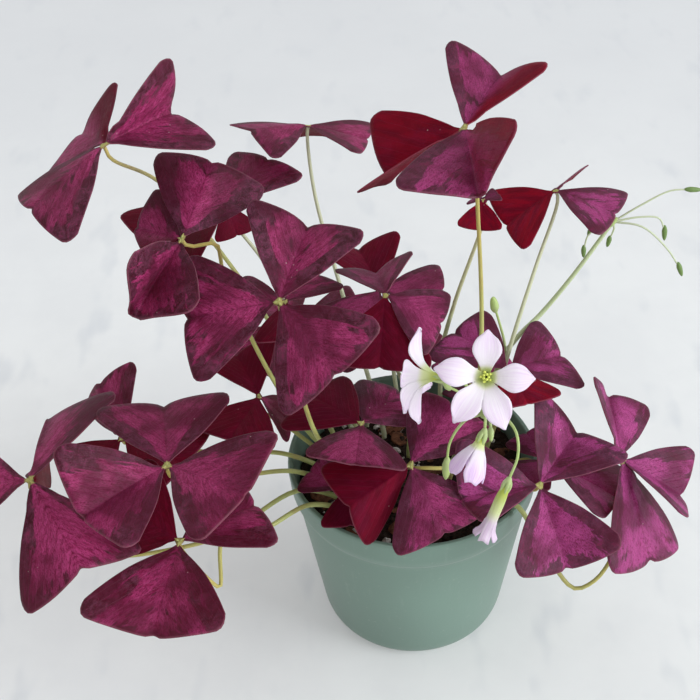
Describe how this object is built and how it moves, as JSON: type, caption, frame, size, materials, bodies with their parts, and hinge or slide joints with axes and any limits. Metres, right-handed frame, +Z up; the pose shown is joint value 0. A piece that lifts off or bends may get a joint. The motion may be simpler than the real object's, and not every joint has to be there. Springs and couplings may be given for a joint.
{
  "type": "potted purple shamrock plant",
  "caption": "Purple shamrock with three-part purple leaves and pale lilac flowers on thin stems, growing in a plain round plastic nursery pot filled with potting mix.",
  "frame": {"origin": "centre of the pot's flat base, on the surface the pot stands on", "axes": "+Z up along the pot's axis, -Y towards the front of the plant, +X to its right seen from the front"},
  "size_m": [0.3331, 0.23, 0.2834],
  "materials": {
    "pot_plastic": "matte",
    "potting_mix": "matte",
    "leaf_purple": "satin",
    "petiole_green": "satin",
    "scape_green": "satin",
    "petal_lilac": "satin"
  },
  "bodies": {
    "root": {"pot": "pot_plastic", "soil": "potting_mix", "leaf_01_blade": "leaf_purple", "leaf_01_petiole": "petiole_green", "leaf_02_blade": "leaf_purple", "leaf_02_petiole": "petiole_green", "leaf_03_blade": "leaf_purple", "leaf_03_petiole": "petiole_green", "leaf_04_blade": "leaf_purple", "leaf_04_petiole": "petiole_green", "leaf_05_blade": "leaf_purple", "leaf_05_petiole": "petiole_green", "leaf_06_blade": "leaf_purple", "leaf_06_petiole": "petiole_green", "leaf_07_blade": "leaf_purple", "leaf_07_petiole": "petiole_green", "leaf_08_blade": "leaf_purple", "leaf_08_petiole": "petiole_green", "leaf_09_blade": "leaf_purple", "leaf_09_petiole": "petiole_green", "leaf_10_blade": "leaf_purple", "leaf_10_petiole": "petiole_green", "leaf_11_blade": "leaf_purple", "leaf_11_petiole": "petiole_green", "leaf_12_blade": "leaf_purple", "leaf_12_petiole": "petiole_green", "leaf_13_blade": "leaf_purple", "leaf_13_petiole": "petiole_green", "leaf_14_blade": "leaf_purple", "leaf_14_petiole": "petiole_green", "leaf_15_blade": "leaf_purple", "leaf_15_petiole": "petiole_green", "leaf_16_blade": "leaf_purple", "leaf_16_petiole": "petiole_green", "leaf_17_blade": "leaf_purple", "leaf_17_petiole": "petiole_green", "leaf_18_blade": "leaf_purple", "leaf_18_petiole": "petiole_green", "leaf_19_blade": "leaf_purple", "leaf_19_petiole": "petiole_green", "leaf_20_blade": "leaf_purple", "leaf_20_petiole": "petiole_green", "leaf_21_blade": "leaf_purple", "leaf_21_petiole": "petiole_green", "leaf_22_blade": "leaf_purple", "leaf_22_petiole": "petiole_green", "leaf_23_blade": "leaf_purple", "leaf_23_petiole": "petiole_green", "leaf_24_blade": "leaf_purple", "leaf_24_petiole": "petiole_green", "leaf_25_blade": "leaf_purple", "leaf_25_petiole": "petiole_green", "leaf_26_blade": "leaf_purple", "leaf_26_petiole": "petiole_green", "scape_1": "scape_green", "scape_2": "scape_green", "flower_front": "petal_lilac", "flower_side": "petal_lilac", "flower_nodding": "petal_lilac", "flower_spent": "petal_lilac"}
  },
  "joints": []
}
